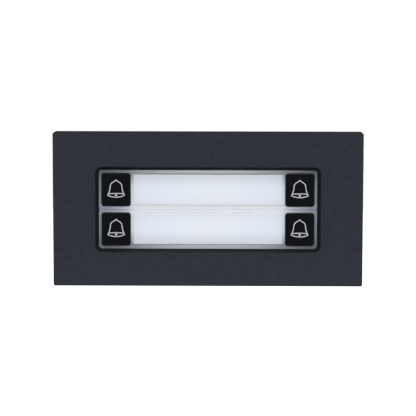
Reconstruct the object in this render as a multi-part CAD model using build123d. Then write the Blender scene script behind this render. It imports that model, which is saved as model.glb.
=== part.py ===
"""Intercom button module: a painted front plate with two clear name windows and four call buttons.

Millimetres. X is across the module, Z is up and the front faces -Y. The origin is the centre of the
mounting plane, which is the rear rim of the front plate. Depths count back from the front face.
"""

from build123d import *
import os

# Call buttons
BUTTON_SPREAD = 59.2
ROW_GAP = 2.15
CAP_WIDTH = 9.3
CAP_HEIGHT = 10.6
CAP_CORNER = 0.9
CAP_EDGE = 0.2
CAP_RECESS = 0.15
CAP_FACE = 1.6
CAP_WALL = 1.2
CAP_FLANGE = 0.6
CAP_FLANGE_THICKNESS = 0.9
CAP_GAP = 0.15
STEM_RADIUS = 1.6
STEM_REACH = 0.45
BUTTON_TRAVEL = 0.8

# Bell symbol, a pale line let into the cap
BELL_WIDTH = 5.46
BELL_HEIGHT = 5.64
BELL_LINE = 0.28
BELL_DEPTH = 0.3
BELL_LIFT = 0.43
CLAPPER_RADIUS = 0.34

# Clear name windows
WINDOW_RIM = 0.92
WINDOW_SEAM = 0.06
WINDOW_CORNER = 1.0
WINDOW_EDGE = 0.25
WINDOW_HOLE_EDGE = 0.15
WINDOW_RECESS = 0.4
WINDOW_PANE = 1.0
WINDOW_FLANGE = 1.2
WINDOW_FLANGE_THICKNESS = 1.2
NAME_FIELD_MARGIN = 0.6
NAME_FIELD_RIM = 1.3

# Name cards and the diffuser behind them
CARD_GAP = 0.2
CARD_THICKNESS = 0.25
FACE_GAP = 0.05
DIFFUSER_THICKNESS = 1.15
DIFFUSER_INSET = 1.15
DIFFUSER_LEDGE = 1.6

# Front plate
PLATE_SIDE_BORDER = 13.53
PLATE_END_BORDER = 10.95
PLATE_DEPTH = 8.0
PLATE_CORNER = 0.6
PLATE_EDGE = 0.2
FRONT_WALL = 2.2
SKIRT_WALL = 2.0
OPENING_SIDE_GAP = 0.5
OPENING_END_GAP = 0.35
OPENING_CORNER = 1.3
BEVEL_WIDTH = 0.8
BEVEL_DEPTH = 1.2
GASKET_THICKNESS = 0.4
GASKET_RECESS = 1.0

# Blind holes for the screws of the wall frame
MOUNT_HOLE_RADIUS = 1.25
MOUNT_HOLE_DEPTH = 5.0
MOUNT_BOSS_RADIUS = 2.6
MOUNT_BOSS_BITE = 0.4

# Carrier behind the windows
CARRIER_FACE = 1.0
CARRIER_STEP = 1.35
CARRIER_PLATE = 1.6
CARRIER_CORNER = 2.0
CARRIER_PAN_GAP = 1.6
CARRIER_LIP = 0.4

# Screws
SCREW_RADIUS = 0.8
SCREW_GAP = 0.1
SCREW_HEAD_RADIUS = 1.8
SCREW_HEAD_HEIGHT = 1.0
SCREW_SLOT_WIDTH = 0.5
SCREW_SLOT_DEPTH = 0.5
SCREW_BITE = 3.6
SCREW_TIP_GAP = 0.5
POST_RADIUS = 2.2
EAR_SPREAD = 60.0
EAR_EDGE = 2.6

# Circuit board and what is on it
BOARD_THICKNESS = 1.6
BOARD_CORNER = 1.0
BOARD_EDGE = 2.3
SWITCH_SIZE = 6.0
SWITCH_HEIGHT = 3.5
SWITCH_POST_GAP = 0.4
PLUNGER_RADIUS = 1.6
PLUNGER_GAP = 0.15
PLUNGER_STROKE_SPARE = 0.4
PLUNGER_BURIED = 1.2
LED_WIDTH = 3.5
LED_HEIGHT = 2.8
LED_THICKNESS = 1.0
LED_PITCH = 15.0
LED_COLUMNS = 3
CHIP_SIZE = 7.0
CHIP_THICKNESS = 1.0
CAPACITOR_RADIUS = 2.5
CAPACITOR_HEIGHT = 5.0
CAPACITOR_SPREAD = 16.0
CAPACITOR_EDGE = 5.05

# Shrouded bus headers
HEADER_SPREAD = 34.0
HEADER_WIDTH = 20.3
HEADER_HEIGHT = 8.9
HEADER_LENGTH = 9.0
HEADER_WALL = 1.2
HEADER_FLOOR = 2.4
HEADER_KEY_WIDTH = 4.5
HEADER_GAP = 0.2
PIN_PITCH = 2.54
PIN_COLUMNS = 5
PIN_SIZE = 0.64
PIN_GAP = 0.06
PIN_TAIL = 1.0
PIN_SHORT = 1.4

# Rear housing
HOUSING_WALL = 1.6
HOUSING_GAP = 0.3
HOUSING_CORNER = 3.0
HOUSING_EDGE = 0.8
HOUSING_ROOM = 6.0
COUNTERBORE_DEPTH = 1.6

ROWS = {"upper": 1, "lower": -1}
COLUMNS = {"left": -1, "right": 1}

# Outlines worked out from the buttons outwards
window_width = BUTTON_SPREAD + CAP_WIDTH + 2 * WINDOW_RIM
button_pitch = CAP_HEIGHT + ROW_GAP
field_height = 2 * button_pitch
hole_width = CAP_WIDTH + 2 * CAP_GAP
hole_height = CAP_HEIGHT + 2 * CAP_GAP
name_field_width = BUTTON_SPREAD - hole_width - 2 * NAME_FIELD_MARGIN
name_field_height = button_pitch - 2 * NAME_FIELD_RIM
throat_width = window_width + 2 * OPENING_SIDE_GAP
throat_height = field_height + 2 * OPENING_END_GAP
flange_width = throat_width + 2 * WINDOW_FLANGE
flange_height = throat_height + 2 * WINDOW_FLANGE
mouth_width = throat_width + 2 * BEVEL_WIDTH
mouth_height = throat_height + 2 * BEVEL_WIDTH
plate_width = mouth_width + 2 * PLATE_SIDE_BORDER
plate_height = mouth_height + 2 * PLATE_END_BORDER
pan_width = plate_width - 2 * SKIRT_WALL
pan_height = plate_height - 2 * SKIRT_WALL
mount_x = pan_width / 2 - MOUNT_BOSS_RADIUS + MOUNT_BOSS_BITE
mount_z = pan_height / 2 - MOUNT_BOSS_RADIUS + MOUNT_BOSS_BITE
diffuser_width = BUTTON_SPREAD - hole_width - 2 * FACE_GAP
diffuser_height = field_height - 2 * DIFFUSER_INSET
screw_x = BUTTON_SPREAD / 2 + SWITCH_SIZE / 2 + SWITCH_POST_GAP + POST_RADIUS
board_width = 2 * (screw_x + BOARD_EDGE)
housing_width = board_width + 2 * (HOUSING_GAP + HOUSING_WALL)
carrier_width = housing_width + 2 * CARRIER_LIP
carrier_height = pan_height - 2 * CARRIER_PAN_GAP
ear_z = carrier_height / 2 - EAR_EDGE
housing_height = 2 * (ear_z - SCREW_HEAD_RADIUS - HOUSING_GAP)
board_height = housing_height - 2 * (HOUSING_GAP + HOUSING_WALL)
screw_z = board_height / 2 - BOARD_EDGE

# Depths worked out from the front backwards
pane_back = WINDOW_RECESS + WINDOW_PANE
card_front = pane_back + FACE_GAP
rib_back = card_front + CARD_THICKNESS
pad_front = rib_back + FACE_GAP
window_flange_front = FRONT_WALL + GASKET_THICKNESS
window_back = window_flange_front + WINDOW_FLANGE_THICKNESS
carrier_front = window_back + FACE_GAP
diffuser_back = carrier_front + DIFFUSER_THICKNESS
cap_flange_front = carrier_front + CARRIER_FACE + FACE_GAP
cap_back = cap_flange_front + CAP_FLANGE_THICKNESS
stem_back = cap_back + STEM_REACH
switch_front = stem_back + BUTTON_TRAVEL + PLUNGER_STROKE_SPARE
board_front = switch_front + SWITCH_HEIGHT
board_back = board_front + BOARD_THICKNESS
carrier_plate_front = carrier_front + CARRIER_STEP
carrier_back = carrier_plate_front + CARRIER_PLATE
housing_inside = board_back + HOUSING_ROOM
housing_back = housing_inside + HOUSING_WALL
header_back = board_back + HEADER_LENGTH
head_seat = housing_back - COUNTERBORE_DEPTH

screw_spots = [Pos(x * screw_x, z * screw_z) for x in COLUMNS.values() for z in ROWS.values()]
ear_spots = [Pos(x * EAR_SPREAD / 2, z * ear_z) for x in COLUMNS.values() for z in ROWS.values()]
mount_spots = [Pos(x * mount_x, z * mount_z) for x in COLUMNS.values() for z in ROWS.values()]
pin_spots = GridLocations(PIN_PITCH, PIN_PITCH, PIN_COLUMNS, 2)


def block(outline, front, back):
    """Solid of a front view outline (x, z) between two depths."""
    face = Plane(origin=(0, back - PLATE_DEPTH, 0), x_dir=(1, 0, 0), z_dir=(0, -1, 0))
    return extrude(face * outline, amount=back - front)


def at_each(spots, outline):
    """The same outline at several places."""
    return Sketch() + [spot * outline for spot in spots]


def button_spot(row, column):
    """Centre of one call button."""
    return Pos(COLUMNS[column] * BUTTON_SPREAD / 2, ROWS[row] * button_pitch / 2)


def front_rim(solid):
    """Outer edges of a solid's foremost face."""
    return solid.faces().sort_by(Axis.Y)[0].outer_wire().edges()


def screw(spot, seat, tip):
    """Slotted round-head screw, its head behind the seat and its tip towards the front."""
    shank = block(spot * Circle(SCREW_RADIUS), tip, seat)
    head = block(spot * Circle(SCREW_HEAD_RADIUS), seat, seat + SCREW_HEAD_HEIGHT)
    head = fillet(head.faces().sort_by(Axis.Y)[-1].edges(), SCREW_HEAD_HEIGHT / 2)
    slot_floor = seat + SCREW_HEAD_HEIGHT - SCREW_SLOT_DEPTH
    slot = spot * Rectangle(2 * SCREW_HEAD_RADIUS, SCREW_SLOT_WIDTH)
    return shank + head - block(slot, slot_floor, seat + SCREW_HEAD_HEIGHT)


def front_plate():
    """Die-cast plate with a skirt, a bevelled opening and bosses for both sets of screws."""
    plate = block(RectangleRounded(plate_width, plate_height, PLATE_CORNER), 0, PLATE_DEPTH)
    plate = fillet(front_rim(plate), PLATE_EDGE)
    plate -= block(Rectangle(pan_width, pan_height), FRONT_WALL, PLATE_DEPTH)
    plate -= block(RectangleRounded(throat_width, throat_height, OPENING_CORNER), 0, FRONT_WALL)
    front = plate.faces().sort_by(Axis.Y)[0]
    mouth = front.inner_wires()[0].edges()
    plate = chamfer(mouth, BEVEL_WIDTH, BEVEL_DEPTH, reference=front)
    plate += block(at_each(mount_spots, Circle(MOUNT_BOSS_RADIUS)), FRONT_WALL, PLATE_DEPTH)
    plate += block(at_each(ear_spots, Circle(POST_RADIUS)), FRONT_WALL, carrier_plate_front)
    mount_floor = PLATE_DEPTH - MOUNT_HOLE_DEPTH
    plate -= block(at_each(mount_spots, Circle(MOUNT_HOLE_RADIUS)), mount_floor, PLATE_DEPTH)
    ear_floor = carrier_plate_front - SCREW_BITE - SCREW_TIP_GAP
    plate -= block(at_each(ear_spots, Circle(SCREW_RADIUS + SCREW_GAP)), ear_floor, carrier_plate_front)
    return plate


def window_gasket():
    """Rubber ring between the window flanges and the plate, its lip filling the gap round the windows."""
    field = RectangleRounded(
        window_width + 2 * FACE_GAP, field_height + 2 * FACE_GAP, WINDOW_CORNER + FACE_GAP
    )
    lip = RectangleRounded(
        throat_width - 2 * FACE_GAP, throat_height - 2 * FACE_GAP, OPENING_CORNER - FACE_GAP
    )
    ring = block(Rectangle(flange_width, flange_height) - field, FRONT_WALL, window_flange_front)
    return ring + block(lip - field, GASKET_RECESS, FRONT_WALL)


def name_window(row):
    """Clear cover of one row: a hole for each button, and in its back a card pocket and a deeper bay."""
    middle = ROWS[row] * button_pitch / 2
    height = button_pitch - WINDOW_SEAM
    outline = Pos(0, middle) * RectangleRounded(window_width, height, WINDOW_CORNER)
    holes = Sketch()
    for column in COLUMNS:
        holes += button_spot(row, column) * RectangleRounded(hole_width, hole_height, CAP_CORNER + CAP_GAP)
    pane = block(outline - holes, WINDOW_RECESS, window_back)
    face = pane.faces().sort_by(Axis.Y)[0]
    pane = fillet(face.outer_wire().edges(), WINDOW_EDGE)
    face = pane.faces().sort_by(Axis.Y)[0]
    pane = fillet([edge for wire in face.inner_wires() for edge in wire.edges()], WINDOW_HOLE_EDGE)
    flange_tall = (flange_height - WINDOW_SEAM) / 2
    flange_middle = ROWS[row] * (flange_tall + WINDOW_SEAM) / 2
    flange = Pos(0, flange_middle) * Rectangle(flange_width, flange_tall)
    pane += block(flange - holes, window_flange_front, window_back)
    pocket = Pos(0, middle) * Rectangle(name_field_width, name_field_height)
    pane -= block(pocket, pane_back, rib_back)
    bay = Pos(0, middle) * Rectangle(BUTTON_SPREAD, name_field_height)
    return pane - block(bay, rib_back, window_back)


def name_card(row):
    """Blank card in the pocket of its window."""
    outline = Rectangle(name_field_width - 2 * CARD_GAP, name_field_height - 2 * CARD_GAP)
    middle = Pos(0, ROWS[row] * button_pitch / 2)
    return block(middle * outline, card_front, card_front + CARD_THICKNESS)


def light_diffuser():
    """Opal panel with one raised pad in the bay of each window, behind the card."""
    panel = block(Rectangle(diffuser_width, diffuser_height), carrier_front, diffuser_back)
    pad = Rectangle(diffuser_width, name_field_height - 2 * CARD_GAP)
    for side in ROWS.values():
        panel += block(Pos(0, side * button_pitch / 2) * pad, pad_front, carrier_front)
    return panel


def button_carrier():
    """Moulding that guides the caps, seats the diffuser and carries the circuit board."""
    carrier = block(Rectangle(flange_width, flange_height), carrier_front, carrier_plate_front)
    plate = RectangleRounded(carrier_width, carrier_height, CARRIER_CORNER)
    carrier += block(plate, carrier_plate_front, carrier_back)
    seat_width = diffuser_width + 2 * FACE_GAP
    seat_height = diffuser_height + 2 * FACE_GAP
    carrier -= block(Rectangle(seat_width, seat_height), carrier_front, diffuser_back)
    lamp_hole = Rectangle(seat_width - 2 * DIFFUSER_LEDGE, seat_height - 2 * DIFFUSER_LEDGE)
    carrier -= block(lamp_hole, diffuser_back, carrier_back)
    well_height = hole_height + 2 * CAP_FLANGE
    for row in ROWS:
        for column, side in COLUMNS.items():
            spot = button_spot(row, column)
            hole = RectangleRounded(hole_width, hole_height, CAP_CORNER + CAP_GAP)
            well = Pos(side * CAP_FLANGE / 2, 0) * Rectangle(hole_width + CAP_FLANGE, well_height)
            carrier -= block(spot * hole, carrier_front, carrier_back)
            carrier -= block(spot * well, carrier_front + CARRIER_FACE, carrier_back)
    carrier += block(at_each(screw_spots, Circle(POST_RADIUS)), carrier_back, board_front)
    pilot = Circle(SCREW_RADIUS + SCREW_GAP)
    pilot_floor = board_front - SCREW_BITE - SCREW_TIP_GAP
    carrier -= block(at_each(screw_spots, pilot), pilot_floor, board_front)
    return carrier - block(at_each(ear_spots, pilot), carrier_plate_front, carrier_back)


def bell_sketch():
    """Outline bell: a body with an ogee top, an open brim below it and a clapper."""
    half = BELL_WIDTH / 2
    top = BELL_LIFT + BELL_HEIGHT / 2
    apex = (0, top)
    hollow = (-0.17 * half, top - 0.08 * BELL_HEIGHT)
    neck = (-0.37 * half, top - 0.14 * BELL_HEIGHT)
    shoulder = (-0.595 * half, top - 0.23 * BELL_HEIGHT)
    waist = (-0.68 * half, top - 0.36 * BELL_HEIGHT)
    flare = (-0.74 * half, top - 0.56 * BELL_HEIGHT)
    brim = (-0.905 * half, top - 0.8 * BELL_HEIGHT)
    tip = (-half, top - 0.885 * BELL_HEIGHT)
    side = ThreePointArc(apex, hollow, neck)
    side += ThreePointArc(neck, shoulder, waist)
    side += ThreePointArc(waist, flare, brim)
    brim_top = ThreePointArc(brim, (0, top - 0.78 * BELL_HEIGHT), (-brim[0], brim[1]))
    body = make_face(side + mirror(side, Plane.YZ) + brim_top)
    edge = Line(brim, tip)
    brim_bottom = ThreePointArc(tip, (0, top - BELL_HEIGHT), (half, tip[1]))
    mouth = make_face(brim_top + edge + mirror(edge, Plane.YZ) + brim_bottom)
    lines = Sketch()
    for shape in (body, mouth):
        lines += offset(shape, BELL_LINE / 2) - offset(shape, -BELL_LINE / 2)
    return lines + Pos(0, tip[1]) * Circle(CLAPPER_RADIUS)


def bell_symbol(row, column):
    """Second-shot inlay, flush with the face of its cap."""
    return block(button_spot(row, column) * bell_sketch(), CAP_RECESS, CAP_RECESS + BELL_DEPTH)


def button_cap(row, column):
    """Hollow cap with a stop flange behind the carrier's face and a stem over its switch."""
    spot = button_spot(row, column)
    cap = block(spot * RectangleRounded(CAP_WIDTH, CAP_HEIGHT, CAP_CORNER), CAP_RECESS, cap_back)
    cap = fillet(front_rim(cap), CAP_EDGE)
    outward = Pos(COLUMNS[column] * CAP_FLANGE / 2, 0)
    flange = outward * Rectangle(CAP_WIDTH + CAP_FLANGE, CAP_HEIGHT + 2 * CAP_FLANGE)
    cap += block(spot * flange, cap_flange_front, cap_back)
    hollow = Rectangle(CAP_WIDTH - 2 * CAP_WALL, CAP_HEIGHT - 2 * CAP_WALL)
    cap -= block(spot * hollow, CAP_RECESS + CAP_FACE, cap_back)
    cap += block(spot * Circle(STEM_RADIUS), CAP_RECESS + CAP_FACE, stem_back)
    return cap - bell_symbol(row, column)


def switch(row, column):
    """Push switch body with a blind bore for its plunger."""
    spot = button_spot(row, column)
    body = block(spot * Rectangle(SWITCH_SIZE, SWITCH_SIZE), switch_front, board_front)
    bore_floor = switch_front + PLUNGER_BURIED + BUTTON_TRAVEL + PLUNGER_STROKE_SPARE
    return body - block(spot * Circle(PLUNGER_RADIUS + PLUNGER_GAP), switch_front, bore_floor)


def switch_plunger(row, column):
    """Plunger that the cap's stem rests on."""
    outline = button_spot(row, column) * Circle(PLUNGER_RADIUS)
    return block(outline, stem_back, switch_front + PLUNGER_BURIED)


def circuit_board():
    """Board with holes for its four screws and for the header pins."""
    board = RectangleRounded(board_width, board_height, BOARD_CORNER)
    board -= at_each(screw_spots, Circle(SCREW_RADIUS + SCREW_GAP))
    for side in COLUMNS.values():
        board -= Pos(side * HEADER_SPREAD / 2, 0) * at_each(pin_spots, Circle(PIN_SIZE / 2**0.5 + PIN_GAP))
    return block(board, board_front, board_back)


def backlight_leds():
    """Rows of lamps on the front of the board."""
    spots = GridLocations(LED_PITCH, button_pitch, LED_COLUMNS, len(ROWS))
    return block(at_each(spots, Rectangle(LED_WIDTH, LED_HEIGHT)), board_front - LED_THICKNESS, board_front)


def capacitors():
    """Two round cans on the back of the board."""
    spots = [Pos(side * CAPACITOR_SPREAD / 2, board_height / 2 - CAPACITOR_EDGE) for side in COLUMNS.values()]
    return block(at_each(spots, Circle(CAPACITOR_RADIUS)), board_back, board_back + CAPACITOR_HEIGHT)


def bus_header(side):
    """Shroud around one block of pins, with a key slot in its upper wall."""
    place = Pos(side * HEADER_SPREAD / 2, 0)
    cavity_width = HEADER_WIDTH - 2 * HEADER_WALL
    cavity_height = HEADER_HEIGHT - 2 * HEADER_WALL
    floor = board_back + HEADER_FLOOR
    shroud = block(place * Rectangle(HEADER_WIDTH, HEADER_HEIGHT), board_back, header_back)
    shroud -= block(place * Rectangle(cavity_width, cavity_height), floor, header_back)
    key = Pos(0, HEADER_HEIGHT / 2) * Rectangle(HEADER_KEY_WIDTH, 2 * HEADER_WALL)
    shroud -= block(place * key, floor, header_back)
    pin_hole = Rectangle(PIN_SIZE + 2 * PIN_GAP, PIN_SIZE + 2 * PIN_GAP)
    return shroud - block(place * at_each(pin_spots, pin_hole), board_back, floor)


def header_pins(side):
    """Square pins from the front of the board to just short of the shroud's rim."""
    pins = Pos(side * HEADER_SPREAD / 2, 0) * at_each(pin_spots, Rectangle(PIN_SIZE, PIN_SIZE))
    return block(pins, board_front - PIN_TAIL, header_back - PIN_SHORT)


def rear_housing():
    """Box over the circuit board, with a column behind each corner of the board."""
    outline = RectangleRounded(housing_width, housing_height, HOUSING_CORNER)
    housing = block(outline, carrier_back, housing_back)
    housing = fillet(housing.faces().sort_by(Axis.Y)[-1].edges(), HOUSING_EDGE)
    inside_width = housing_width - 2 * HOUSING_WALL
    inside_height = housing_height - 2 * HOUSING_WALL
    inside = RectangleRounded(inside_width, inside_height, HOUSING_CORNER - HOUSING_WALL)
    housing -= block(inside, carrier_back, housing_inside)
    column = Circle(SCREW_HEAD_RADIUS + SCREW_GAP + HOUSING_WALL / 2)
    housing += block(at_each(screw_spots, column), board_back, housing_inside)
    housing -= block(at_each(screw_spots, Circle(SCREW_RADIUS + SCREW_GAP)), board_back, housing_back)
    counterbore = Circle(SCREW_HEAD_RADIUS + SCREW_GAP)
    housing -= block(at_each(screw_spots, counterbore), head_seat, housing_back)
    for side in COLUMNS.values():
        slot = Rectangle(HEADER_WIDTH + 2 * HEADER_GAP, HEADER_HEIGHT + 2 * HEADER_GAP)
        housing -= block(Pos(side * HEADER_SPREAD / 2, 0) * slot, housing_inside, housing_back)
    return housing


nodes = {
    "front_plate": front_plate(),
    "window_gasket": window_gasket(),
    "light_diffuser": light_diffuser(),
    "button_carrier": button_carrier(),
    "circuit_board": circuit_board(),
    "backlight_leds": backlight_leds(),
    "controller_chip": block(Rectangle(CHIP_SIZE, CHIP_SIZE), board_back, board_back + CHIP_THICKNESS),
    "capacitors": capacitors(),
    "rear_housing": rear_housing(),
    "carrier_screws": Part() + [screw(s, carrier_back, carrier_plate_front - SCREW_BITE) for s in ear_spots],
    "housing_screws": Part() + [screw(s, head_seat, board_front - SCREW_BITE) for s in screw_spots],
}
for column, side in COLUMNS.items():
    nodes[f"bus_header_{column}"] = bus_header(side)
    nodes[f"header_pins_{column}"] = header_pins(side)
for row in ROWS:
    nodes[f"name_window_{row}"] = name_window(row)
    nodes[f"name_card_{row}"] = name_card(row)
    for column in COLUMNS:
        nodes[f"button_cap_{row}_{column}"] = button_cap(row, column)
        nodes[f"bell_symbol_{row}_{column}"] = bell_symbol(row, column)
        nodes[f"switch_{row}_{column}"] = switch(row, column)
        nodes[f"switch_plunger_{row}_{column}"] = switch_plunger(row, column)

os.makedirs("parts", exist_ok=True)
for name, solid in nodes.items():
    export_step(solid, f"parts/{name}.step")
print(f"plate {plate_width:.2f} x {plate_height:.2f} mm, mounting holes at {mount_x:.2f}, {mount_z:.2f} mm")
print(f"{len(nodes)} nodes, depth {header_back:.2f} mm")
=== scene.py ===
# %% [markdown]
# # Intercom button module
# A door intercom is put together from flat front modules. This one carries four call buttons with a bell
# symbol and, between them, two name cards behind clear covers. Its solids come from the part's own CAD
# model, so nothing is modelled twice here: this lesson gives the finished solids their paint, plastics
# and metals, and sets up the light and the camera of a small product studio.

# %% Load the frame
import math

import bpy
from mathutils import Matrix, Vector


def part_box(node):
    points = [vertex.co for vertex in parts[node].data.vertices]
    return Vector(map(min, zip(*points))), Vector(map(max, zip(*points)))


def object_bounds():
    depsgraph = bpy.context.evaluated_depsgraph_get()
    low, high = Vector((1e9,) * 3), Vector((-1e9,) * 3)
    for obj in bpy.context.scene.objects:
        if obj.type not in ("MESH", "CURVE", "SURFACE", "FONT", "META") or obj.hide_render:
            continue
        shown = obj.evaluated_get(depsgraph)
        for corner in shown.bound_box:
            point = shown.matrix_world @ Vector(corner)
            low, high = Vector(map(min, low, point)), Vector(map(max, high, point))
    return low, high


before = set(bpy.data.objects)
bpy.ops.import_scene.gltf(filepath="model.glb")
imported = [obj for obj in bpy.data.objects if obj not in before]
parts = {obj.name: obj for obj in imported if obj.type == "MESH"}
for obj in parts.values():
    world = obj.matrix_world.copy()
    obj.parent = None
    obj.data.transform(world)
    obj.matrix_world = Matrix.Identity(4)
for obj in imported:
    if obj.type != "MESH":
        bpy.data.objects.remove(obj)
scene = bpy.context.scene
cad_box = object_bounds()


def in_millimetres(box):
    """The three side lengths of a box that is given by two corners in metres."""
    return [round(1000 * (high - low), 2) for low, high in zip(*box)]


print(f"{len(parts)} CAD nodes, box {in_millimetres(cad_box)} mm")

# %% [markdown]
# ## The grain of moulded and sprayed surfaces
# Almost every part here is moulded plastic or sprayed metal. Up close both have a fine grain, from the
# mould or from the spray, and over a few millimetres the tone drifts a little. Pictures of such surfaces
# could show that, but noise needs no files and stays sharp at any distance. Many finishes want the effect
# at different scales, so it becomes a node group: a tree of its own with named sockets, built once and
# placed in each finish.

# %% Sockets of the grain group
NUMBER = "NodeSocketFloat"
COLOUR = "NodeSocketColor"


def start_group(name, inputs, outputs):
    """Makes an empty shader group and returns it with the sockets to read from and to write to."""
    tree = bpy.data.node_groups.new(name, "ShaderNodeTree")
    for label, kind, value in inputs:
        socket = tree.interface.new_socket(label, in_out="INPUT", socket_type=kind)
        socket.default_value = value
    for label, kind in outputs:
        tree.interface.new_socket(label, in_out="OUTPUT", socket_type=kind)
    return tree, tree.nodes.new("NodeGroupInput").outputs, tree.nodes.new("NodeGroupOutput").inputs


grain_group, given, put_out = start_group(
    "surface_grain",
    [
        ("Colour", COLOUR, (0.5, 0.5, 0.5, 1)),
        ("Grains per Metre", NUMBER, 4000.0),
        ("Drift", NUMBER, 0.1),
        ("Roughness", NUMBER, 0.5),
        ("Roughness Spread", NUMBER, 0.1),
    ],
    [("Colour", COLOUR), ("Roughness", NUMBER), ("Height", NUMBER)],
)
print(f"group {grain_group.name} takes {', '.join(socket.name for socket in given if socket.name)}")

# %% [markdown]
# ## Inside the grain group
# A fine noise gives the relief its height and breaks up the gloss. The same noise and a coarser one,
# added up, shade the colour. Adding a node, setting its options and linking its sockets takes four or
# five lines each time, which would hide what the tree does. So one helper takes a socket or a plain value
# for each input, and a second one does sums.

# %% Nodes of the grain group
COARSE_SHARE = 0.2
FINE_DETAIL = 2.0
COARSE_DETAIL = 4.0
NOISE_MEAN = 0.5


def add_node(tree, kind, values=None, **options):
    """Adds a shader node; a value that is a socket is linked, any other is set."""
    node = tree.nodes.new("ShaderNode" + kind)
    for name, option in options.items():
        setattr(node, name, option)
    for name, value in (values or {}).items():
        if isinstance(value, bpy.types.NodeSocket):
            tree.links.new(value, node.inputs[name])
        else:
            node.inputs[name].default_value = value
    return node


def calculate(tree, operation, *values):
    """Adds a Math node and returns its result."""
    return add_node(tree, "Math", dict(enumerate(values)), operation=operation).outputs[0]


spot = add_node(grain_group, "TexCoord").outputs["Object"]
fine_scale = given["Grains per Metre"]
coarse_scale = calculate(grain_group, "MULTIPLY", fine_scale, COARSE_SHARE)
fine, coarse = (
    add_node(grain_group, "TexNoise", {"Vector": spot, "Scale": scale, "Detail": detail}).outputs[0]
    for scale, detail in ((fine_scale, FINE_DETAIL), (coarse_scale, COARSE_DETAIL))
)
mottle = calculate(grain_group, "SUBTRACT", calculate(grain_group, "ADD", coarse, fine), 2 * NOISE_MEAN)
tone = calculate(grain_group, "MULTIPLY_ADD", mottle, given["Drift"], 1.0)
shaded = add_node(
    grain_group, "MixRGB", {"Fac": 1.0, "Color1": given["Colour"], "Color2": tone}, blend_type="MULTIPLY"
)
uneven = calculate(grain_group, "SUBTRACT", fine, NOISE_MEAN)
gloss = calculate(grain_group, "MULTIPLY_ADD", uneven, given["Roughness Spread"], given["Roughness"])
grain_group.links.new(shaded.outputs[0], put_out["Colour"])
grain_group.links.new(gloss, put_out["Roughness"])
grain_group.links.new(fine, put_out["Height"])
print(f"group {grain_group.name}: {len(grain_group.nodes)} nodes")

# %% [markdown]
# ## Caps and bells
# The caps are black plastic with a satin gloss, and each bell is a second shot of pale plastic, flush
# with the face of its cap. Each finish could get a tree of its own by hand, but with the group in place
# they differ only in colour, in how rough they are, in how many grains lie on a metre and in how deep
# these are. So one function makes them all. The depth is a real one, a few hundredths of a millimetre at
# most, because the bump works in metres.


# %% Grained finishes
def new_finish(name, **plain):
    """Starts a material and returns it with its tree and its Principled shader."""
    finish = bpy.data.materials.new(name)
    finish.use_nodes = True
    shader = finish.node_tree.nodes["Principled BSDF"]
    for socket, value in plain.items():
        shader.inputs[socket.replace("_", " ")].default_value = value
    return finish, finish.node_tree, shader


def grained(name, colour, roughness, per_metre, depth, drift=0.1, spread=0.12, **plain):
    """A Principled finish with grain in its colour, its roughness and its relief."""
    finish, tree, shader = new_finish(name, **plain)
    look = add_node(
        tree, "Group",
        {
            "Colour": (*colour, 1), "Grains per Metre": per_metre, "Drift": drift,
            "Roughness": roughness, "Roughness Spread": spread,
        },
        node_tree=grain_group,
    )
    relief = add_node(tree, "Bump", {"Distance": depth, "Height": look.outputs["Height"]})
    tree.links.new(look.outputs["Colour"], shader.inputs["Base Color"])
    tree.links.new(look.outputs["Roughness"], shader.inputs["Roughness"])
    tree.links.new(relief.outputs[0], shader.inputs["Normal"])
    return finish, tree, shader


cap_plastic = grained(
    "cap_plastic", colour=(0.0026, 0.0029, 0.0042), roughness=0.32, per_metre=5000.0, depth=6e-6,
    Specular_IOR_Level=0.3,
)[0]
symbol_plastic = grained(
    "symbol_plastic", colour=(0.62, 0.62, 0.67), roughness=0.45, per_metre=5000.0, depth=3e-6
)[0]
print(f"finishes {cap_plastic.name} and {symbol_plastic.name}")


# %% Finishes on the caps and bells
def dress(finish, *names):
    """Puts a finish on the CAD nodes whose names start with one of the given words."""
    found = [name for name in sorted(parts) if name.startswith(names)]
    for name in found:
        for holder in parts[name].material_slots:
            holder.material = finish
    print(f"{finish.name}: {', '.join(found)}")


dress(cap_plastic, "button_cap")
dress(symbol_plastic, "bell_symbol")

# %% [markdown]
# ## The plate
# The plate is a zinc casting with a grey paint. Its bevel and its sides carry painted shade: where a spot
# turns away from straight ahead, the colour goes over to a near-black, which stands in for the shade in
# the recess of the opening and along the edges. A second material on those faces would end in a hard
# line. The direction in which each spot faces is a softer mask, and it follows the rounded edges by
# itself.

# %% Plate with painted shade on the bevel and the sides
# near-black painted shade for the bevel of the opening and the sides
PAINTED_SHADE_COLOUR = (0.010, 0.011, 0.014, 1)
STRAIGHT_AHEAD = (0, -1, 0)
SHADE_FULL_BELOW = 0.9
SHADE_GONE_ABOVE = 0.99
plate_paint, tree, shader = grained(
    "plate_paint", colour=(0.024, 0.0262, 0.036), roughness=0.45, per_metre=2500.0, depth=2e-5, drift=0.6,
    Specular_IOR_Level=0.3,
)
# mask: full painted shade where a face turns away from straight ahead, the plain grey on the flat front
facing = add_node(tree, "TexCoord").outputs["Normal"]
towards_front = add_node(tree, "VectorMath", {0: facing, 1: STRAIGHT_AHEAD}, operation="DOT_PRODUCT")
unshaded = add_node(
    tree, "MapRange",
    {"Value": towards_front.outputs["Value"], "From Min": SHADE_FULL_BELOW, "From Max": SHADE_GONE_ABOVE},
)
face_colour = shader.inputs["Base Color"].links[0].from_socket
with_painted_shade = add_node(tree, "MixRGB", {"Fac": unshaded.outputs[0], "Color1": PAINTED_SHADE_COLOUR, "Color2": face_colour})
tree.links.new(with_painted_shade.outputs[0], shader.inputs["Base Color"])
dress(plate_paint, "front_plate")

# %% [markdown]
# ## Light from the lamps
# On the circuit board two rows of small lamps shine through a white panel onto the backs of the cards. In
# the photograph they are on: the cards hold their tone close to the dark buttons, and the clear borders
# are brighter next to the cards than at the ends. Lamps inside the housing would need many samples, so
# the lit pieces glow a little by themselves. The glow fades towards the sides, towards the top and bottom
# of the window and about the seam of the covers, and its tint is bluer further out. It is one group,
# because three finishes need it.

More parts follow.
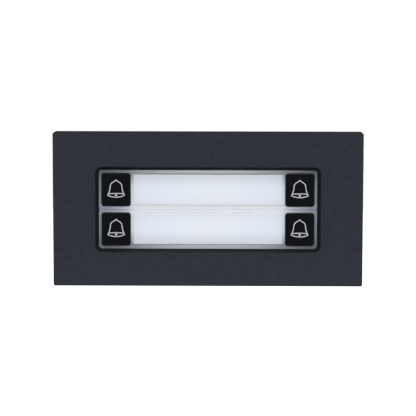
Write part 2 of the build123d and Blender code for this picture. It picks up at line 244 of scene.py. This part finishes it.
# %% The lamp light group
FADE_AXES = {"Side": "X", "Height": "Z", "Seam": "Z", "Tint": "X"}
NO_FADE = {"Start": 0.0, "End": 0.03, "Rest": 1.0}
lamp_group, given, put_out = start_group(
    "lamp_light",
    [(f"{way} {label}", NUMBER, value) for way in FADE_AXES for label, value in NO_FADE.items()],
    [("Light", NUMBER), ("Near", NUMBER)],
)
spot = add_node(lamp_group, "TexCoord").outputs["Object"]
from_middle = add_node(lamp_group, "SeparateXYZ", {0: spot}).outputs
left_over = {}
for way, axis in FADE_AXES.items():
    fade = add_node(
        lamp_group, "MapRange",
        {
            "Value": calculate(lamp_group, "ABSOLUTE", from_middle[axis]),
            "From Min": given[f"{way} Start"], "From Max": given[f"{way} End"],
            "To Min": 1.0, "To Max": given[f"{way} Rest"],
        },
        interpolation_type="SMOOTHSTEP",
    )
    left_over[way] = fade.outputs[0]
over_window = calculate(lamp_group, "MULTIPLY", left_over["Side"], left_over["Height"])
light = calculate(lamp_group, "MULTIPLY", over_window, left_over["Seam"])
lamp_group.links.new(light, put_out["Light"])
lamp_group.links.new(left_over["Tint"], put_out["Near"])
print(f"group {lamp_group.name}: {len(lamp_group.nodes)} nodes")

# %% [markdown]
# ## A finish that glows
# The lit pieces are grained paper or plastic first. Their glow could be a second shader, mixed in, but
# the Principled shader has its own Emission, and with it a finish stays one shader. A fade is given as
# the distance from the module's middle where it starts, the distance where it ends, and the share that is
# left there. A piece that reaches far back glows only in its front skin, because its back stays dark.


# %% Lit finishes
def lit(name, colour, strength, near_tint, far_tint, fades, skin=None):
    """A grained finish that glows; skin gives two depths, where the glow is full and where it is gone."""
    finish, tree, shader = grained(
        name, colour, roughness=0.6, per_metre=4000.0, depth=4e-6, drift=0.04, Emission_Strength=strength
    )
    settings = {
        f"{way} {label}": value for way, fade in fades.items() for label, value in zip(NO_FADE, fade)
    }
    lamp_light = add_node(tree, "Group", settings, node_tree=lamp_group).outputs
    glow = lamp_light["Light"]
    if skin:
        spot = add_node(tree, "TexCoord").outputs["Object"]
        depth = add_node(tree, "SeparateXYZ", {0: spot}).outputs["Y"]
        in_skin = add_node(
            tree, "MapRange",
            {"Value": depth, "From Min": skin[0], "From Max": skin[1], "To Min": 1.0, "To Max": 0.0},
        )
        glow = calculate(tree, "MULTIPLY", glow, in_skin.outputs[0])
    tint = add_node(
        tree, "MixRGB", {"Fac": lamp_light["Near"], "Color1": (*far_tint, 1), "Color2": (*near_tint, 1)}
    )
    shine = add_node(tree, "MixRGB", {"Fac": glow, "Color1": (0, 0, 0, 1), "Color2": tint.outputs[0]})
    tree.links.new(shine.outputs[0], shader.inputs["Emission Color"])
    return finish


card_low, card_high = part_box("name_card_upper")
lamp_row = (card_low.z + card_high.z) / 2
even_field = 0.2 * card_high.x
print(f"lamp rows {1000 * lamp_row:.1f} mm from the seam, even light {2000 * even_field:.1f} mm wide")

# %% [markdown]
# ## Cards and panel
# The cards are blank white paper. The panel behind them is opal plastic, seen at the seam and as a narrow
# edge beside each card. The paper is brightest along the lamp rows and lies a little in the shade towards
# the seam, where the panel itself shows as a bright line. The places of the fades could all be typed in,
# but most come from the boxes of the solids, so the glow stays where it belongs if a size changes.

# %% Card paper and opal plastic
SEAM_SHADE = 0.0043
SEAM_LINE = 0.0016
panel_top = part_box("light_diffuser")[1].z
card_edge = 0.95 * card_high.x
card_paper = lit(
    "card_paper", colour=(0.61, 0.63, 0.66), strength=0.39,
    near_tint=(0.96, 0.98, 1.0), far_tint=(0.91, 0.96, 1.0),
    fades={
        "Side": (even_field, card_high.x, 0.93),
        "Height": (lamp_row, card_high.z, 0.6),
        "Seam": (SEAM_SHADE, 0.0, 0.75),
        "Tint": (even_field, card_high.x, 0.0),
    },
)
opal_plastic = lit(
    "opal_plastic", colour=(0.28, 0.285, 0.29), strength=0.65,
    near_tint=(0.97, 0.985, 1.0), far_tint=(0.86, 0.93, 1.0),
    fades={
        "Height": (lamp_row, panel_top, 0.35),
        "Seam": (0.0, SEAM_LINE, 0.9),
        "Tint": (card_edge, card_high.x, 0.0),
    },
)
dress(card_paper, "name_card")
dress(opal_plastic, "light_diffuser")

# %% [markdown]
# ## The carrier
# The carrier is the grey moulding that guides the buttons. Its front shows through the clear borders of
# the covers, and light leaks into it from the panel: most of it next to the cards, little at the ends and
# along the top and bottom. The front could be a finish of its own, but the solid has a single material
# slot. So the glow ends a millimetre behind the face instead, and the back is plain grey.

# %% Carrier plastic
SKIN_DEPTH = 0.001
window_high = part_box("name_window_upper")[1]
window_edge = 0.97 * window_high.x
cap_row = 0.45 * window_high.z
carrier_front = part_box("button_carrier")[0].y
carrier_plastic = lit(
    "carrier_plastic", colour=(0.52, 0.54, 0.57), strength=1.0,
    near_tint=(0.93, 0.95, 1.0), far_tint=(0.63, 0.75, 1.0),
    fades={
        "Side": (even_field, window_edge, 0.2),
        "Height": (cap_row, window_high.z, 0.16),
        "Tint": (card_high.x, window_high.x, 0.0),
    },
    skin=(carrier_front, carrier_front + SKIN_DEPTH),
)
dress(carrier_plastic, "button_carrier")

# %% [markdown]
# ## Clear covers
# The covers are clear polished acrylic. A refracting shader alone would throw a dark shadow on the cards,
# because a shadow ray can't bend through it. So a ray that only tests for shadow, or that comes off a
# matt surface, goes straight through a faintly tinted transparent shader, and every other ray sees the
# real refracting surface.

# %% Clear acrylic
ACRYLIC_TINT = (0.97, 0.98, 1.0, 1)
ACRYLIC_IOR = 1.49
SHADOW_TINT = (0.92, 0.93, 0.95, 1)
clear_cover, tree, shader = new_finish(
    "clear_cover", Base_Color=ACRYLIC_TINT, IOR=ACRYLIC_IOR, Transmission_Weight=1.0
)
polish = add_node(
    tree, "Group", {"Grains per Metre": 800.0, "Roughness": 0.03, "Roughness Spread": 0.03},
    node_tree=grain_group,
)
tree.links.new(polish.outputs["Roughness"], shader.inputs["Roughness"])
ray = add_node(tree, "LightPath").outputs
passing = calculate(tree, "MAXIMUM", ray["Is Shadow Ray"], ray["Is Diffuse Ray"])
straight = add_node(tree, "BsdfTransparent", {"Color": SHADOW_TINT})
either = add_node(tree, "MixShader", {0: passing, 1: shader.outputs[0], 2: straight.outputs[0]})
tree.links.new(either.outputs[0], tree.nodes["Material Output"].inputs["Surface"])
dress(clear_cover, "name_window")

# %% [markdown]
# ## The back and the inside
# Behind the plate sits a closed black housing with two shrouded pin headers, held by steel screws, and a
# rubber ring seals the covers. The circuit board inside has its switches, lamps and chip. All of them are
# grained finishes with other values, so a table in a loop is enough: the housing has the coarse grain of
# an etched mould, and the metals show their grain mostly in their gloss.

# %% Finishes of the back and of the inside
for name, colour, roughness, per_metre, depth, drift, pieces in (
    ("seal_rubber", (0.004, 0.004, 0.004), 0.85, 2500.0, 1.5e-5, 0.2, ("window_gasket",)),
    ("housing_plastic", (0.012, 0.012, 0.014), 0.5, 1700.0, 4e-5, 0.5, ("rear_housing",)),
    ("header_plastic", (0.010, 0.010, 0.011), 0.4, 4000.0, 1.2e-5, 0.2, ("bus_header",)),
    ("chip_plastic", (0.012, 0.012, 0.013), 0.6, 6000.0, 8e-6, 0.2, ("controller_chip",)),
    ("lamp_body", (0.82, 0.80, 0.62), 0.35, 6000.0, 4e-6, 0.05, ("backlight_leds",)),
    ("switch_plastic", (0.014, 0.014, 0.015), 0.55, 5000.0, 8e-6, 0.2, ("switch_upper", "switch_lower")),
    ("plunger_plastic", (0.60, 0.60, 0.57), 0.45, 5000.0, 6e-6, 0.05, ("switch_plunger",)),
    ("board_laminate", (0.010, 0.085, 0.040), 0.4, 1500.0, 6e-6, 0.2, ("circuit_board",)),
):
    dress(grained(name, colour, roughness, per_metre, depth, drift)[0], *pieces)
for name, colour, roughness, pieces in (
    ("screw_steel", (0.58, 0.58, 0.57), 0.32, ("carrier_screws", "housing_screws")),
    ("pin_brass", (0.80, 0.60, 0.25), 0.22, ("header_pins",)),
    ("capacitor_can", (0.70, 0.70, 0.71), 0.35, ("capacitors",)),
):
    dress(grained(name, colour, roughness, per_metre=6000.0, depth=4e-6, Metallic=1.0)[0], *pieces)

# %% [markdown]
# ## Floor
# The photograph has a plain white ground with no shadow on it, as on a light table. A white floor that is
# only lit would turn grey near the module, so this one gives light by itself. It lies a little below the
# module and ends just in front of it, so that the flat black caps don't mirror it.

# %% Floor
FLOOR_Z = -0.085
FLOOR_SIDE = 2.0
FLOOR_FRONT = -0.07
FLOOR_BACK = 0.8
floor_mesh = bpy.data.meshes.new("floor")
floor_mesh.from_pydata(
    [
        (-FLOOR_SIDE, FLOOR_FRONT, FLOOR_Z), (FLOOR_SIDE, FLOOR_FRONT, FLOOR_Z),
        (FLOOR_SIDE, FLOOR_BACK, FLOOR_Z), (-FLOOR_SIDE, FLOOR_BACK, FLOOR_Z),
    ],
    [], [(0, 1, 2, 3)],
)
floor = bpy.data.objects.new("floor", floor_mesh)
scene.collection.objects.link(floor)
floor_paint = grained(
    "floor_paint", colour=(0.86, 0.86, 0.87), roughness=0.7, per_metre=300.0, depth=1e-5, drift=0.02,
    Emission_Color=(1, 1, 1, 1), Emission_Strength=1.0,
)[0]
floor_mesh.materials.append(floor_paint)
print(f"floor {1000 * (cad_box[0].z - FLOOR_Z):.0f} mm under the module")

# %% [markdown]
# ## Softboxes
# In the photograph the room in front of the module is dark: the flat black caps mirror almost nothing. So
# three lights reach the face at a slant, from above and from both sides, where the camera meets none of
# their reflections. Bare bulbs would leave bright spots on the bevels, and wide area lights, the
# softboxes of a studio, leave none. Two weaker ones behind the module light its back for the other views.

# %% Softboxes
FRONT_SOFTBOX = 0.8
BACK_SOFTBOX = 0.6
for name, place, width, watts in (
    ("softbox_top", (0, -0.50, 0.62), FRONT_SOFTBOX, 4.2),
    ("softbox_left", (-0.72, -0.50, 0.10), FRONT_SOFTBOX, 3.1),
    ("softbox_right", (0.72, -0.50, 0.10), FRONT_SOFTBOX, 3.7),
    ("softbox_back_left", (-0.65, 0.45, 0.35), BACK_SOFTBOX, 1.8),
    ("softbox_back_right", (0.65, 0.45, 0.35), BACK_SOFTBOX, 1.8),
):
    lamp = bpy.data.lights.new(name, "AREA")
    lamp.size = width
    lamp.energy = watts
    stand = bpy.data.objects.new(name, lamp)
    stand.location = place
    stand.rotation_euler = (-Vector(place)).to_track_quat("-Z", "Y").to_euler()
    scene.collection.objects.link(stand)
    print(f"{name}: {watts} W from {place}")

# %% [markdown]
# ## Room
# The room is a dim bluish grey, which gives the gloss something to mirror. The camera itself sees plain
# white there, so the module stands on the photograph's white ground from every side. A white backdrop
# would do that for one view only, and the Light Path node in the world does it for all. The Standard view
# keeps the colours as they are set above.

# %% Room
ROOM_TINT = (0.90, 0.95, 1, 1)
ROOM_LEVEL = 0.08
room = bpy.data.worlds.new("room")
scene.world = room
room.use_nodes = True
tree = room.node_tree
tree.nodes.clear()
white = add_node(tree, "Background", {"Color": (1, 1, 1, 1), "Strength": 1.0})
grey = add_node(tree, "Background", {"Color": ROOM_TINT, "Strength": ROOM_LEVEL})
seen = add_node(tree, "LightPath").outputs["Is Camera Ray"]
either = add_node(tree, "MixShader", {0: seen, 1: grey.outputs[0], 2: white.outputs[0]})
add_node(tree, "OutputWorld", {"Surface": either.outputs[0]})
scene.view_settings.view_transform = "Standard"
scene.view_settings.look = "None"
print(f"room at {ROOM_LEVEL} of white, {scene.view_settings.view_transform} view")

# %% [markdown]
# ## Camera
# The plate's left and right edges lean towards each other by a little and its top side shows as a thin
# strip, which puts the camera about 58 cm away and six degrees above the module. A fraction of a degree
# of turn and roll meets the edges in the photograph. The camera could be pushed about by eye, but with a
# distance, three angles and a scale each error can be corrected by itself. The lens follows from the
# distance and from the number of pixels that a metre takes up at the plate's face.

# %% Camera
DISTANCE = 0.575
ELEVATION = math.radians(5.95)
TURN = math.radians(0.63)
ROLL = math.radians(0.094)
AIM_RIGHT = 0.04e-3
AIM_UP = 0.60e-3
PIXELS_PER_METRE = 3103.0
PICTURE_WIDTH = 416
SENSOR = 36.0
NEAREST_SEEN = 0.01
aim = Vector((AIM_RIGHT, cad_box[0].y, AIM_UP))
back = Vector((
    math.sin(TURN) * math.cos(ELEVATION), -math.cos(TURN) * math.cos(ELEVATION), math.sin(ELEVATION)
))
eye = bpy.data.cameras.new("camera")
eye.sensor_width = SENSOR
eye.lens = PIXELS_PER_METRE * DISTANCE * SENSOR / PICTURE_WIDTH
eye.clip_start = NEAREST_SEEN
camera = bpy.data.objects.new("camera", eye)
camera.location = aim + DISTANCE * back
level = (-back).to_track_quat("-Z", "Y").to_matrix().to_4x4()
camera.rotation_euler = (level @ Matrix.Rotation(ROLL, 4, "Z")).to_euler()
scene.collection.objects.link(camera)
scene.camera = camera
print(f"camera lens {eye.lens:.1f} mm at {[round(c, 4) for c in camera.location]} m")
